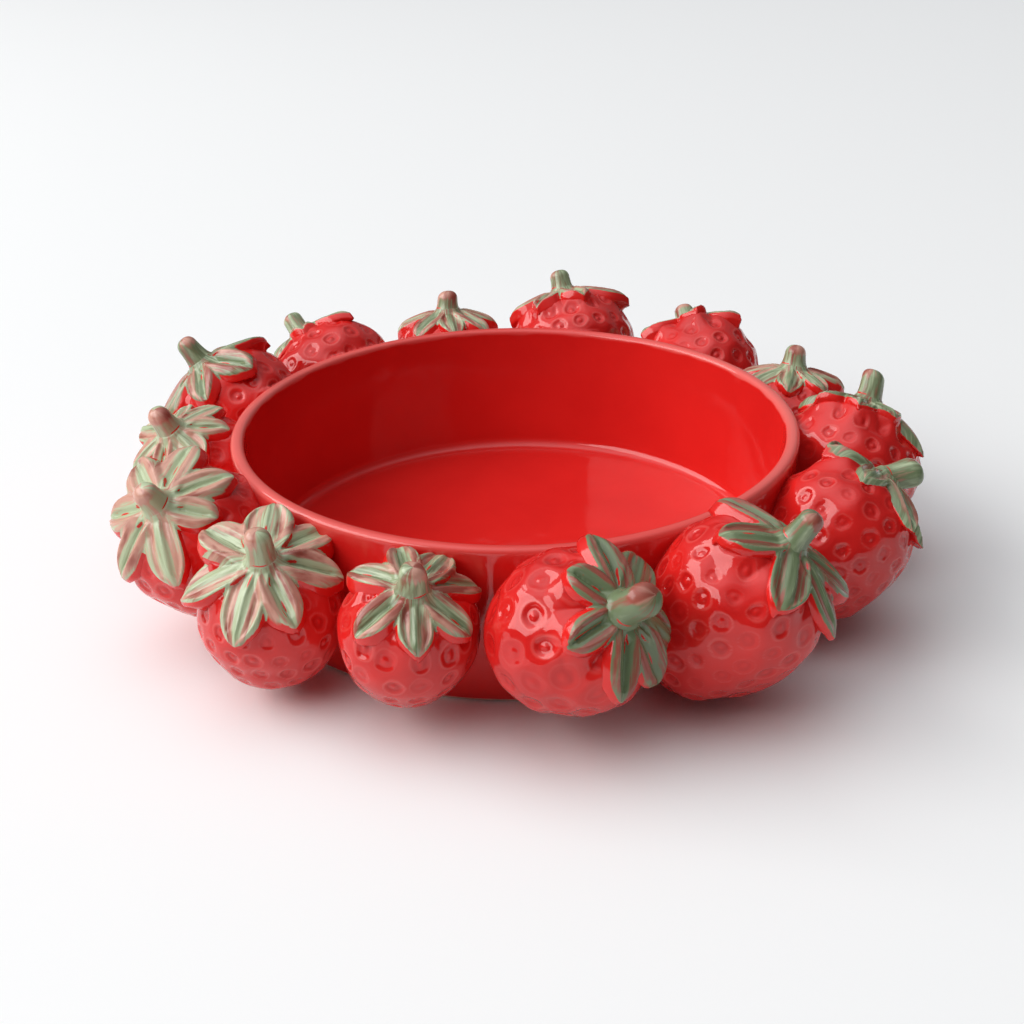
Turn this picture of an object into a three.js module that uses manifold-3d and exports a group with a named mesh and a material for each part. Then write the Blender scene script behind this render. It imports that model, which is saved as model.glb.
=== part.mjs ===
// A round glazed ceramic bowl whose outer wall carries a ring of fourteen strawberries.
// Millimetres, +Z up, the bowl's axis on Z, its flat base on z = 0, its front towards -Y.
import * as THREE from "three";
import { mergeVertices } from "three/addons/utils/BufferGeometryUtils.js";
import Module from "manifold-3d";

const wasm = await Module();
wasm.setup();

// Bowl
const rimOuterRadius = 105;
const wallThickness = 5;
const bowlHeight = 58.7;
const floorThickness = 7;
const baseTaper = 2.8; // how much narrower the wall is at the base than at the rim
const innerTaper = 4; // the same inside, down to the floor
const footBevel = 1.4; // unglazed bevel round the base
const cornerRadius = 4.5; // fillet between the inner wall and the floor
const bowlSegments = 56;

// Slip joints and shells
const slipGap = 0.3; // thickness of the slip between any two pieces
const berryWidth = 50; // a usual berry
const berryWall = 4.5;
const pourHoleRadius = 6;
const tableClearance = 3; // the berries hang clear of the table
const berrySegments = 16;
const cavitySegments = 10;
const berryRings = 5; // from the middle to either end
const cavityRings = 3;

// Leaf crowns and stems
const hubHeight = 3.5; // top of the hub above the berry's crown
const hubRadius = 8.5;
const leafHalfAngle = 20; // degrees, at the widest part of a leaf
const leafShare = 0.4; // most that half a leaf takes of the angle to the next one
const shoulderShare = 0.62; // where along its length a leaf is widest
const leafEdge = 2.2; // least height of a leaf above the berry
const leafSeat = 2; // how far the blank reaches into the berry before it is cut to fit
const undercut = 0.78; // the foot of a leaf's side against its edge
const socketDepth = 2.5;
const stemFootRadius = 5.2;
const stemTipRadius = 4.3;
const stemSegments = 8;

// Each berry, counter-clockwise from the front one left of the middle, lengths as shares of berryWidth:
// at = angle round the bowl, up = height of its middle as a share of the bowl's,
// bite = how far its round reaches past the wall's face before it is cut to fit,
// wide = largest radius, tip and crown = lengths either side of the middle,
// lean = turn of its axis from straight outwards, rise = the axis above level (degrees),
// stem = free length, tilt = the stem's lean towards an angle round the axis,
// leaves = [angle round the axis, reach, drop of the tip below the hub].
const berryRows = [
  {
    at: -106.5, up: 0.63, bite: 0.13, wide: 0.45, tip: 0.59, crown: 0.33, lean: 32, rise: 66, stem: 0.22,
    leaves: [
      [15, 0.5, 0.24], [50, 0.48, 0.16], [90, 0.46, 0.12], [132, 0.48, 0.16],
      [203, 0.42, 0.14], [262, 0.4, 0.12], [315, 0.42, 0.14],
    ],
  },
  {
    at: -82, up: 0.68, bite: 0.13, wide: 0.54, tip: 0.62, crown: 0.43, lean: 36, rise: 38, stem: 0.26,
    leaves: [
      [25, 0.54, 0.18], [60, 0.56, 0.24], [115, 0.4, 0.08], [185, 0.42, 0.1],
      [248, 0.52, 0.18], [290, 0.56, 0.26], [325, 0.5, 0.18],
    ],
  },
  {
    at: -55.5, up: 0.707, bite: 0.1, wide: 0.55, tip: 0.84, crown: 0.4, lean: 45, rise: 55, stem: 0.25,
    leaves: [
      [10, 0.5, 0.18], [58, 0.54, 0.14], [122, 0.48, 0.12], [194, 0.52, 0.16],
      [245, 0.6, 0.24], [290, 0.6, 0.12], [335, 0.5, 0.18],
    ],
  },
  {
    at: -25, up: 0.647, bite: 0.09, wide: 0.5, tip: 0.74, crown: 0.38, lean: 60, rise: 42, stem: 0.29,
    tilt: [237, 38],
    leaves: [
      [15, 0.48, 0.12], [65, 0.46, 0.04], [120, 0.4, 0.14], [172, 0.54, 0.26],
      [207, 0.56, 0.3], [255, 0.52, 0.22], [310, 0.52, 0.22],
    ],
  },
  {
    at: 1.5, up: 0.664, bite: 0.12, wide: 0.55, tip: 0.68, crown: 0.39, lean: 45, rise: 62, stem: 0.24,
    leaves: [
      [20, 0.48, 0.16], [62, 0.46, 0.1], [105, 0.4, 0.1], [150, 0.38, 0.08],
      [195, 0.54, 0.26], [250, 0.52, 0.2], [315, 0.5, 0.18],
    ],
  },
  {
    at: 25.5, up: 0.596, bite: 0.13, wide: 0.49, tip: 0.58, crown: 0.35, lean: 36, rise: 75, stem: 0.19,
    leaves: [
      [8, 0.44, 0.1], [60, 0.4, 0.12], [105, 0.38, 0.12], [155, 0.4, 0.1],
      [205, 0.44, 0.1], [260, 0.44, 0.14], [315, 0.44, 0.14],
    ],
  },
  {
    at: 49, up: 0.69, bite: 0.12, wide: 0.49, tip: 0.59, crown: 0.42, lean: 58, rise: 45, stem: 0.16,
    leaves: [
      [5, 0.48, 0.06], [81, 0.34, 0.02], [138, 0.48, 0.12], [190, 0.48, 0.18],
      [240, 0.46, 0.18], [285, 0.46, 0.18], [330, 0.46, 0.18],
    ],
  },
  {
    at: 77.5, up: 0.741, bite: 0.12, wide: 0.55, tip: 0.66, crown: 0.41, lean: 38, rise: 64, stem: 0.19,
    leaves: [
      [30, 0.44, 0.1], [85, 0.4, 0.08], [148, 0.56, 0.16], [200, 0.52, 0.18],
      [250, 0.5, 0.18], [295, 0.52, 0.18], [340, 0.52, 0.12],
    ],
  },
  {
    at: 103, up: 0.656, bite: 0.12, wide: 0.49, tip: 0.59, crown: 0.36, lean: -7, rise: 78, stem: 0.18,
    leaves: [
      [45, 0.42, 0.14], [90, 0.4, 0.14], [135, 0.42, 0.14], [183, 0.44, 0.12],
      [235, 0.44, 0.14], [298, 0.44, 0.14], [352, 0.46, 0.14],
    ],
  },
  {
    at: 129, up: 0.69, bite: 0.13, wide: 0.56, tip: 0.67, crown: 0.37, lean: 4, rise: 39, stem: 0.23,
    leaves: [
      [10, 0.48, 0.18], [58, 0.38, 0.08], [107, 0.54, 0.16], [160, 0.5, 0.18],
      [210, 0.5, 0.18], [258, 0.5, 0.18], [310, 0.5, 0.18],
    ],
  },
  {
    at: 153.5, up: 0.75, bite: 0.1, wide: 0.5, tip: 0.6, crown: 0.4, lean: 23, rise: 54, stem: 0.24,
    leaves: [
      [3, 0.46, 0.16], [55, 0.5, 0.2], [115, 0.52, 0.16], [170, 0.48, 0.18],
      [218, 0.5, 0.18], [260, 0.52, 0.18], [302, 0.56, 0.16],
    ],
  },
  {
    at: 177.5, up: 0.681, bite: 0.14, wide: 0.44, tip: 0.53, crown: 0.34, lean: 42, rise: 60, stem: 0.22,
    leaves: [
      [0, 0.38, 0.12], [45, 0.4, 0.14], [88, 0.42, 0.14], [140, 0.4, 0.12],
      [193, 0.42, 0.06], [240, 0.44, 0.14], [300, 0.38, 0.1],
    ],
  },
  {
    at: 206, up: 0.656, bite: 0.16, wide: 0.52, tip: 0.67, crown: 0.44, lean: 27, rise: 51, stem: 0.23,
    leaves: [
      [10, 0.4, 0.12], [58, 0.5, 0.18], [110, 0.56, 0.14], [155, 0.54, 0.06],
      [200, 0.52, 0.14], [245, 0.54, 0.24], [302, 0.52, 0.2],
    ],
  },
  {
    at: 229, up: 0.554, bite: 0.11, wide: 0.48, tip: 0.58, crown: 0.38, lean: 39, rise: 73, stem: 0.25,
    leaves: [
      [3, 0.5, 0.18], [48, 0.56, 0.12], [93, 0.54, -0.02], [140, 0.58, 0.06],
      [187, 0.56, 0.24], [250, 0.52, 0.24], [296, 0.46, 0.18],
    ],
  },
];

const glazeRed = new THREE.MeshStandardMaterial({ color: 0xc4191c, roughness: 0.15, metalness: 0 });
const leafGreen = new THREE.MeshStandardMaterial({ color: 0x8aa886, roughness: 0.3, metalness: 0 });
const stemGreen = new THREE.MeshStandardMaterial({ color: 0x7f9f7c, roughness: 0.3, metalness: 0 });

const rad = THREE.MathUtils.degToRad;

// The rows at full size
const berries = berryRows.map((row) => ({
  ...row,
  bite: row.bite * berryWidth,
  wide: row.wide * berryWidth,
  tip: row.tip * berryWidth,
  crown: row.crown * berryWidth,
  stem: row.stem * berryWidth,
  leaves: row.leaves.map(([turn, reach, drop]) => [turn, reach * berryWidth, drop * berryWidth]),
}));

// A closed three.js geometry as a solid, and back
function solidOf(geometry) {
  const bare = geometry.clone();
  bare.deleteAttribute("normal");
  bare.deleteAttribute("uv");
  const merged = mergeVertices(bare, 1e-4);
  return new wasm.Manifold(
    new wasm.Mesh({
      numProp: 3,
      vertProperties: merged.attributes.position.array,
      triVerts: new Uint32Array(merged.index.array),
    }),
  );
}

function geometryOf(solid) {
  const mesh = solid.getMesh();
  const geometry = new THREE.BufferGeometry();
  geometry.setAttribute("position", new THREE.BufferAttribute(mesh.vertProperties, 3));
  geometry.setIndex(new THREE.BufferAttribute(mesh.triVerts, 1));
  geometry.computeVertexNormals();
  return geometry;
}

// Cutting can leave loose slivers beside a piece, and only the piece itself is kept
function mainBody(solid) {
  const bodies = solid.decompose();
  return bodies.reduce((best, body) => (body.volume() > best.volume() ? body : best));
}

function cutBy(solid, cutters) {
  return mainBody(cutters.reduce((left, cutter) => left.subtract(cutter), solid));
}

const upright = new THREE.Matrix4().makeRotationX(Math.PI / 2);

// The bowl's outer wall at a height, straight from the bevel to the rim
const rimTube = wallThickness / 2;
const rimCentreHeight = bowlHeight - rimTube;
const rimCentreRadius = rimOuterRadius - rimTube;
const baseOuterRadius = rimOuterRadius - baseTaper;

function arc(centreX, centreY, radius, from, to, steps) {
  return Array.from({ length: steps + 1 }, (_, i) => {
    const angle = rad(from + ((to - from) * i) / steps);
    return new THREE.Vector2(centreX + radius * Math.cos(angle), centreY + radius * Math.sin(angle));
  });
}

const innerFootRadius = rimOuterRadius - wallThickness - innerTaper;

const bowlProfile = [
  new THREE.Vector2(0, 0),
  new THREE.Vector2(baseOuterRadius - footBevel, 0),
  new THREE.Vector2(baseOuterRadius, footBevel),
  ...arc(rimCentreRadius, rimCentreHeight, rimTube, 0, 180, 6),
  ...arc(innerFootRadius - cornerRadius, floorThickness + cornerRadius, cornerRadius, 0, -90, 3),
  new THREE.Vector2(0, floorThickness),
];
const bowlSolid = solidOf(new THREE.LatheGeometry(bowlProfile, bowlSegments).applyMatrix4(upright));

// The filled round of the wall with its slip, carried past the rim: every fitted piece is cut by it
const rimReach = 3 * bowlHeight;
const wallProfile = [
  new THREE.Vector2(0, -rimReach),
  new THREE.Vector2(baseOuterRadius + slipGap, -rimReach),
  new THREE.Vector2(baseOuterRadius + slipGap, footBevel),
  new THREE.Vector2(rimOuterRadius + slipGap, rimCentreHeight),
  ...arc(rimCentreRadius, rimCentreHeight, rimTube + slipGap, 30, 90, 2),
  new THREE.Vector2(0, bowlHeight + slipGap),
];
const wallCutter = solidOf(new THREE.LatheGeometry(wallProfile, bowlSegments).applyMatrix4(upright));

// Where a berry sits: its middle, its axis towards the crown and two directions square to the axis
function seatOf(berry) {
  const axisTurn = rad(berry.at + berry.lean);
  const rise = rad(berry.rise);
  const axis = new THREE.Vector3(
    Math.cos(rise) * Math.cos(axisTurn),
    Math.cos(rise) * Math.sin(axisTurn),
    Math.sin(rise),
  );
  const across = new THREE.Vector3(0, 0, 1).cross(axis).normalize();
  const over = axis.clone().cross(across);
  const reachDown = Math.hypot(berry.tip * Math.sin(rise), berry.wide * Math.cos(rise));
  const height = Math.max(berry.up * bowlHeight, reachDown + tableClearance);
  const distance = rimOuterRadius + berry.wide - berry.bite;
  const middle = new THREE.Vector3(
    distance * Math.cos(rad(berry.at)),
    distance * Math.sin(rad(berry.at)),
    height,
  );
  return { axis, across, over, middle };
}

function alongAxis(seat, base) {
  const back = seat.over.clone().negate();
  return new THREE.Matrix4().makeBasis(seat.across, seat.axis, back).setPosition(base);
}

// A berry's round: one half-ellipse from the tip to the middle, another from there to the crown
function berryRound(berry, grow, segments, rows) {
  const points = Array.from({ length: 2 * rows + 1 }, (_, i) => {
    const angle = -Math.PI / 2 + (Math.PI * i) / (2 * rows);
    const length = (angle < 0 ? berry.tip : berry.crown) + grow;
    const radius = i % (2 * rows) === 0 ? 0 : (berry.wide + grow) * Math.cos(angle);
    return new THREE.Vector2(radius, length * Math.sin(angle));
  });
  const seat = seatOf(berry);
  return solidOf(new THREE.LatheGeometry(points, segments).applyMatrix4(alongAxis(seat, seat.middle)));
}

// The pour hole runs level from the hollow to the wall that covers it
function pourHole(berry) {
  const seat = seatOf(berry);
  const outwards = new THREE.Vector3(Math.cos(rad(berry.at)), Math.sin(rad(berry.at)), 0);
  const length = berry.wide + berry.bite;
  const hole = new THREE.CylinderGeometry(pourHoleRadius, pourHoleRadius, length, cavitySegments);
  const turn = new THREE.Quaternion().setFromUnitVectors(new THREE.Vector3(0, 1, 0), outwards);
  const centre = seat.middle.clone().addScaledVector(outwards, -length / 2);
  return solidOf(hole.applyMatrix4(new THREE.Matrix4().makeRotationFromQuaternion(turn).setPosition(centre)));
}

// Height of the berry's surface along its axis at a distance from the axis
function crownHeight(berry, distance) {
  const share = Math.min(distance / berry.wide, 1);
  return berry.crown * Math.sqrt(1 - share * share);
}

// Angle from one leaf to the next on that side
function spacing(leaves, i, side) {
  const next = leaves[(i + leaves.length + Math.sign(side)) % leaves.length];
  return (Math.sign(side) * (next[0] - leaves[i][0]) + 360) % 360;
}

// A leaf crown's blank: a star of leaves whose top runs from the hub to the tips, sunk into the berry below
function crownBlank(berry, grow) {
  const seat = seatOf(berry);
  const hubTop = berry.crown + hubHeight + grow;
  const outline = [];
  berry.leaves.forEach(([turn, reach, drop], i) => {
    const gapBefore = spacing(berry.leaves, i, -1);
    outline.push({ turn: turn - gapBefore / 2, radius: hubRadius + grow, share: 0, drop });
    for (const side of [-1, 0, 1]) {
      const share = side === 0 ? 1 : shoulderShare;
      const spread = Math.min(leafHalfAngle, leafShare * spacing(berry.leaves, i, side));
      const radius = hubRadius + (reach - hubRadius) * share + grow;
      outline.push({ turn: turn + side * spread, radius, share, drop });
    }
  });
  for (const p of outline) {
    const rest = crownHeight(berry, p.radius) + leafEdge + grow;
    p.top = p.share === 0 ? rest : Math.max(hubTop - p.drop * Math.pow(p.share, 1.5), rest);
  }
  const positions = [];
  const put = (turn, radius, height) => {
    const point = seat.middle.clone().addScaledVector(seat.axis, height);
    point.addScaledVector(seat.across, radius * Math.cos(rad(turn)));
    point.addScaledVector(seat.over, radius * Math.sin(rad(turn)));
    positions.push(point.x, point.y, point.z);
  };
  const count = outline.length;
  outline.forEach((p) => {
    const inner = hubRadius * 0.75;
    put(p.turn, inner, hubTop);
  });
  outline.forEach((p) => put(p.turn, p.radius, p.top));
  outline.forEach((p) => {
    const foot = Math.min(p.radius, berry.wide) * undercut;
    put(p.turn, foot, crownHeight(berry, foot) - leafSeat);
  });
  put(0, 0, hubTop);
  put(0, 0, berry.crown - leafSeat);
  const faces = [];
  for (let i = 0; i < count; i++) {
    const j = (i + 1) % count;
    const [edge, foot, topMiddle, footMiddle] = [count, 2 * count, 3 * count, 3 * count + 1];
    faces.push(topMiddle, i, j);
    faces.push(i, edge + i, edge + j, i, edge + j, j);
    faces.push(edge + i, foot + i, foot + j, edge + i, foot + j, edge + j);
    faces.push(footMiddle, foot + j, foot + i);
  }
  const geometry = new THREE.BufferGeometry();
  geometry.setAttribute("position", new THREE.Float32BufferAttribute(positions, 3));
  geometry.setIndex(faces);
  return solidOf(geometry);
}

// A stem: a tapered rod with round ends, its foot sunk into the hub by the socket's depth
function stemRod(berry, grow) {
  const seat = seatOf(berry);
  const [tiltTurn, tiltAngle] = berry.tilt ?? [0, 0];
  const sideways = seat.across.clone().multiplyScalar(Math.cos(rad(tiltTurn)));
  sideways.addScaledVector(seat.over, Math.sin(rad(tiltTurn)));
  const direction = seat.axis.clone().multiplyScalar(Math.cos(rad(tiltAngle)));
  direction.addScaledVector(sideways, Math.sin(rad(tiltAngle)));
  const foot = stemFootRadius;
  const tip = stemTipRadius;
  const tipCentre = berry.stem + socketDepth - foot - tip;
  const points = [
    ...arc(0, 0, foot + grow, -90, 0, 2),
    ...arc(0, tipCentre, tip + grow, 0, 90, 3),
  ];
  points[0].x = 0;
  points[points.length - 1].x = 0;
  const turn = new THREE.Quaternion().setFromUnitVectors(new THREE.Vector3(0, 1, 0), direction);
  const base = seat.middle.clone().addScaledVector(seat.axis, berry.crown + hubHeight - socketDepth + foot);
  const place = new THREE.Matrix4().makeRotationFromQuaternion(turn).setPosition(base);
  return solidOf(new THREE.LatheGeometry(points, stemSegments).applyMatrix4(place));
}

const count = berries.length;
const before = (i) => (i + count - 1) % count;
const after = (i) => (i + 1) % count;

const rounds = berries.map((berry) => berryRound(berry, 0, berrySegments, berryRings));
const grownRounds = berries.map((berry) => berryRound(berry, slipGap, berrySegments, berryRings));
const grownStems = berries.map((berry) => stemRod(berry, slipGap));

// Each berry is hollow, is cut to the wall and gives way to the neighbour set before it
const berrySolids = berries.map((berry, i) => {
  const hollow = berryRound(berry, -berryWall, cavitySegments, cavityRings);
  const neighbours = i === 0 ? [] : [grownRounds[before(i)]];
  if (i === count - 1) neighbours.push(grownRounds[after(i)]);
  return cutBy(rounds[i], [hollow, pourHole(berry), wallCutter, ...neighbours]);
});

// Each leaf crown is cut to its berry, the berries beside it, the wall, its stem's socket
// and the crowns set before it
const crownSolids = berries.map((berry, i) => {
  const cutters = [grownRounds[i], grownRounds[before(i)], grownRounds[after(i)], wallCutter];
  cutters.push(grownStems[i], grownStems[before(i)], grownStems[after(i)]);
  if (i > 0) cutters.push(crownBlank(berries[before(i)], slipGap));
  if (i === count - 1) cutters.push(crownBlank(berries[after(i)], slipGap));
  return cutBy(crownBlank(berry, 0), cutters);
});

const bowl = new THREE.Group();
bowl.name = "strawberry_bowl";

function addPiece(name, solid, material) {
  const piece = new THREE.Mesh(geometryOf(solid), material);
  piece.name = name;
  bowl.add(piece);
}

addPiece("bowl_body", bowlSolid, glazeRed);
berries.forEach((berry, i) => {
  const number = String(i + 1).padStart(2, "0");
  addPiece("berry_" + number, berrySolids[i], glazeRed);
  addPiece("calyx_" + number, crownSolids[i], leafGreen);
  addPiece("stem_" + number, stemRod(berry, 0), stemGreen);
});

export default bowl;
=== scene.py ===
import math

import bpy
import numpy as np
from mathutils import Matrix


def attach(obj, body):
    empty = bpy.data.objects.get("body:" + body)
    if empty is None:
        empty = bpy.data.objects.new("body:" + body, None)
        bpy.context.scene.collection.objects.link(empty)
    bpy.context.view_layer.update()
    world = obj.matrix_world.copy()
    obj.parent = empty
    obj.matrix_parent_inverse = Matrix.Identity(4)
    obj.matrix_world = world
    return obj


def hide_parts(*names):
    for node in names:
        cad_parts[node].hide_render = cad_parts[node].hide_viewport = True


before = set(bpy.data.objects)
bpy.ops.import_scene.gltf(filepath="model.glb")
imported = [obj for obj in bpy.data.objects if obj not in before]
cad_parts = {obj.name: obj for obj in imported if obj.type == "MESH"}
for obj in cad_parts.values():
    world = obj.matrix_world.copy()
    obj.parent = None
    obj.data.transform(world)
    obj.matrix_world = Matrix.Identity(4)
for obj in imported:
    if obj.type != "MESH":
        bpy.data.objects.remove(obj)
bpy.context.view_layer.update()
print("frame loaded,", len(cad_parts), "nodes")

mm = 0.001


# helpers for meshes, objects and shader nodes

def gridQuads(rows, cols):
    # faces of a grid that closes on itself across its columns
    i, j = np.meshgrid(np.arange(rows - 1), np.arange(cols), indexing="ij")
    k = (j + 1) % cols
    return np.stack([i * cols + j, i * cols + k, (i + 1) * cols + k, (i + 1) * cols + j], -1).reshape(-1, 4)


def poleFans(rows, cols):
    # triangles from the two pole points, which follow the grid points, to the first and last rows
    j = np.arange(cols)
    k = (j + 1) % cols
    first = np.full(cols, rows * cols)
    last = first + 1
    base = (rows - 1) * cols
    return np.concatenate([np.stack([first, k, j], -1), np.stack([last, base + j, base + k], -1)])


def signedVolume(points, quads, tris):
    # sum of the corner determinants, positive when the faces point outwards
    faces = np.concatenate([quads[:, [0, 1, 2]], quads[:, [0, 2, 3]], tris])
    a, b, c = points[faces[:, 0]], points[faces[:, 1]], points[faces[:, 2]]
    return np.einsum("ij,ij->i", a, np.cross(b, c)).sum()


def meshFrom(name, points, quads, tris):
    # points in millimetres become a smooth shaded mesh in metres
    if signedVolume(points, quads, tris) < 0:
        quads = quads[:, ::-1]
        tris = tris[:, ::-1]
    mesh = bpy.data.meshes.new(name)
    mesh.vertices.add(len(points))
    mesh.vertices.foreach_set("co", (points * mm).astype(np.float32).ravel())
    corners = np.concatenate([quads.ravel(), tris.ravel()]).astype(np.int32)
    sizes = np.concatenate([np.full(len(quads), 4), np.full(len(tris), 3)]).astype(np.int32)
    starts = np.concatenate([[0], np.cumsum(sizes)[:-1]]).astype(np.int32)
    mesh.loops.add(len(corners))
    mesh.loops.foreach_set("vertex_index", corners)
    mesh.polygons.add(len(sizes))
    mesh.polygons.foreach_set("loop_start", starts)
    mesh.polygons.foreach_set("use_smooth", np.ones(len(sizes), bool))
    mesh.update(calc_edges=True)
    mesh.validate()
    return mesh


def closedGrid(grid, poles):
    # points and faces of a grid that closes across its columns, with a pole point at each end
    rows, cols = grid.shape[:2]
    return np.concatenate([grid.reshape(-1, 3), poles]), gridQuads(rows, cols), poleFans(rows, cols)


def unit(vector):
    return vector / np.linalg.norm(vector)


def addObject(name, data):
    made = bpy.data.objects.new(name, data)
    bpy.context.scene.collection.objects.link(made)
    return made


def setFrame(thing, columns):
    # three directions and the place of a camera or lamp
    matrix = np.eye(4)
    matrix[:3] = np.transpose(columns)
    thing.matrix_world = Matrix(matrix.tolist())


def addPiece(name, mesh, material, node):
    piece = addObject(name, mesh)
    mesh.materials.append(material)
    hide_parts(node)
    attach(piece, "root")


def setAttribute(mesh, name, values):
    # one number or one vector for each point
    kind = "FLOAT" if values.ndim == 1 else "FLOAT_VECTOR"
    field = "value" if values.ndim == 1 else "vector"
    layer = mesh.attributes.new(name, kind, "POINT")
    layer.data.foreach_set(field, values.astype(np.float32).ravel())


def pointsOf(mesh):
    # a mesh's points and normals, points in millimetres
    flat = np.empty(len(mesh.vertices) * 3, np.float32)
    mesh.vertices.foreach_get("co", flat)
    normals = np.empty(len(mesh.vertices) * 3, np.float32)
    mesh.vertex_normals.foreach_get("vector", normals)
    return flat.reshape(-1, 3).astype(float) / mm, normals.reshape(-1, 3).astype(float)


def smoothStep(low, high, x):
    # 0 below low, 1 above high and a smooth rise between them, or a fall where low is the larger
    t = np.clip((x - low) / (high - low), 0, 1)
    return t * t * (3 - 2 * t)


def softMax(a, b, width):
    # the larger of two, rounded off where they are within the width of each other
    h = np.clip(0.5 + (a - b) / (2 * width), 0, 1)
    return b + (a - b) * h + width * h * (1 - h)


def waveSum(waves, turn):
    # sum of sines, each with its count round the circle, its phase and its share
    return sum(share * np.sin(count * turn + phase) for count, phase, share in waves)


def feed(tree, node, values):
    # each input, by its name or number, takes a value of its own or a link
    for key, value in values.items():
        if isinstance(value, (int, float, tuple)):
            node.inputs[key].default_value = value
        else:
            tree.links.new(value, node.inputs[key])


def mathNode(tree, operation, a, b):
    node = tree.nodes.new("ShaderNodeMath")
    node.operation = operation
    feed(tree, node, {0: a, 1: b})
    return node.outputs[0]


def plus(tree, a, b):
    return mathNode(tree, "ADD", a, b)


def times(tree, a, b):
    return mathNode(tree, "MULTIPLY", a, b)


# camera, floor and light

cameraSpec = {
    "place": (-1.6, -553.4, 289.2), "target": (-1.6, 0, 20.8), "roll": -1.09,
    "lens": 56.5, "sensor": 36, "near": 10,
}


def makeCamera(spec):
    # at its place, facing its target, rolled about the line between them
    place, target = np.array(spec["place"]) * mm, np.array(spec["target"]) * mm
    ahead = unit(target - place)
    right = unit(np.cross(ahead, (0, 0, 1)))
    up = np.cross(right, ahead)
    roll = math.radians(spec["roll"])
    rightTurned = math.cos(roll) * right + math.sin(roll) * up
    upTurned = math.cos(roll) * up - math.sin(roll) * right
    data = bpy.data.cameras.new("photoCamera")
    data.lens = spec["lens"]
    data.sensor_width = spec["sensor"]
    data.clip_start = spec["near"] * mm
    camera = addObject("photoCamera", data)
    setFrame(camera, (rightTurned, upTurned, -ahead, place))
    bpy.context.scene.camera = camera


floorSpec = {"half": 20000, "drop": 0.05, "colour": (0.89, 0.895, 0.9, 1), "roughness": 0.75}


def makeFloor(spec):
    half = spec["half"]
    points = np.array([(-half, -half, 0), (half, -half, 0), (half, half, 0), (-half, half, 0)], float)
    points[:, 2] -= spec["drop"]
    mesh = bpy.data.meshes.new("studioFloor")
    mesh.from_pydata((points * mm).tolist(), [], [(0, 1, 2, 3)])
    paper = bpy.data.materials.new("studioPaper")
    paper.use_nodes = True
    tree = paper.node_tree
    looks = {"Base Color": spec["colour"], "Roughness": spec["roughness"]}
    feed(tree, tree.nodes["Principled BSDF"], looks)
    mesh.materials.append(paper)
    floor = addObject("studioFloor", mesh)


lightSpec = {
    "aim": (0, 0, 40),
    "key": {"place": (-2350, -320, 1750), "size": (4000, 1800), "power": 88, "colour": (1, 0.985, 0.965)},
    "card": {"place": (800, 1500, 800), "size": (1588, 1000), "power": 0.8, "colour": (1, 1, 1)},
    "sky": {
        "colour": (0.96, 0.98, 1.0, 1), "axis": (-0.3, 0.05, 0.95),
        "spread": 3.8, "bright": 1.72, "low": 0.05,
    },
}


def makeLights(spec):
    # a window-like key from the left, a dim card behind on the right, a sky that brightens towards its axis
    for name in ("key", "card"):
        one = spec[name]
        data = bpy.data.lights.new(name + "Light", "AREA")
        data.shape = "RECTANGLE"
        data.size, data.size_y = one["size"][0] * mm, one["size"][1] * mm
        data.energy = one["power"]
        data.color = one["colour"]
        lamp = addObject(name + "Light", data)
        place = np.array(one["place"]) * mm
        away = unit(place - np.array(spec["aim"]) * mm)
        side = unit(np.cross((0, 0, 1), away))
        setFrame(lamp, (side, np.cross(away, side), away, place))
    sky = spec["sky"]
    world = bpy.data.worlds.new("studioSky")
    world.use_nodes = True
    tree = world.node_tree
    facing = tree.nodes.new("ShaderNodeVectorMath")
    facing.operation = "DOT_PRODUCT"
    facing.inputs[1].default_value = unit(np.array(sky["axis"]))
    tree.links.new(tree.nodes.new("ShaderNodeTexCoord").outputs["Generated"], facing.inputs[0])
    ahead = mathNode(tree, "MAXIMUM", facing.outputs["Value"], 0)
    lobe = mathNode(tree, "POWER", ahead, sky["spread"])
    glow = plus(tree, times(tree, lobe, sky["bright"]), sky["low"])
    feed(tree, tree.nodes["Background"], {"Color": sky["colour"], "Strength": glow})
    bpy.context.scene.world = world
    bpy.context.scene.view_settings.view_transform = "Standard"
    bpy.context.scene.view_settings.look = "None"


makeCamera(cameraSpec)
makeFloor(floorSpec)
makeLights(lightSpec)
print("camera, floor and light set")


# glazes

def newGroup(name, inputs, outputs):
    # a shader group with its named sockets, its entry and its end
    group = bpy.data.node_groups.new(name, "ShaderNodeTree")
    for socket, kind, value in inputs:
        made = group.interface.new_socket(name=socket, in_out="INPUT", socket_type=kind)
        if value is not None:
            made.default_value = value
    for socket, kind in outputs:
        group.interface.new_socket(name=socket, in_out="OUTPUT", socket_type=kind)
    return group, group.nodes.new("NodeGroupInput"), group.nodes.new("NodeGroupOutput")


def noiseNode(tree, vector, scale, detail=3, roughness=0.5):
    node = tree.nodes.new("ShaderNodeTexNoise")
    feed(tree, node, {"Vector": vector, "Scale": scale, "Detail": detail, "Roughness": roughness})
    return node.outputs["Fac"]


def swing(tree, noise, share):
    # how far a noise is above or below its mean of a half, times a share
    return times(tree, mathNode(tree, "SUBTRACT", noise, 0.5), share)


def stretched(tree, vector, factors):
    node = tree.nodes.new("ShaderNodeVectorMath")
    node.operation = "MULTIPLY"
    feed(tree, node, {0: vector, 1: factors})
    return node.outputs["Vector"]


def stepNode(tree, value, low, high):
    # rises smoothly from 0 to 1 between low and high
    node = tree.nodes.new("ShaderNodeMapRange")
    node.interpolation_type = "SMOOTHSTEP"
    feed(tree, node, {"Value": value, "From Min": low, "From Max": high})
    return node.outputs["Result"]


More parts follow.
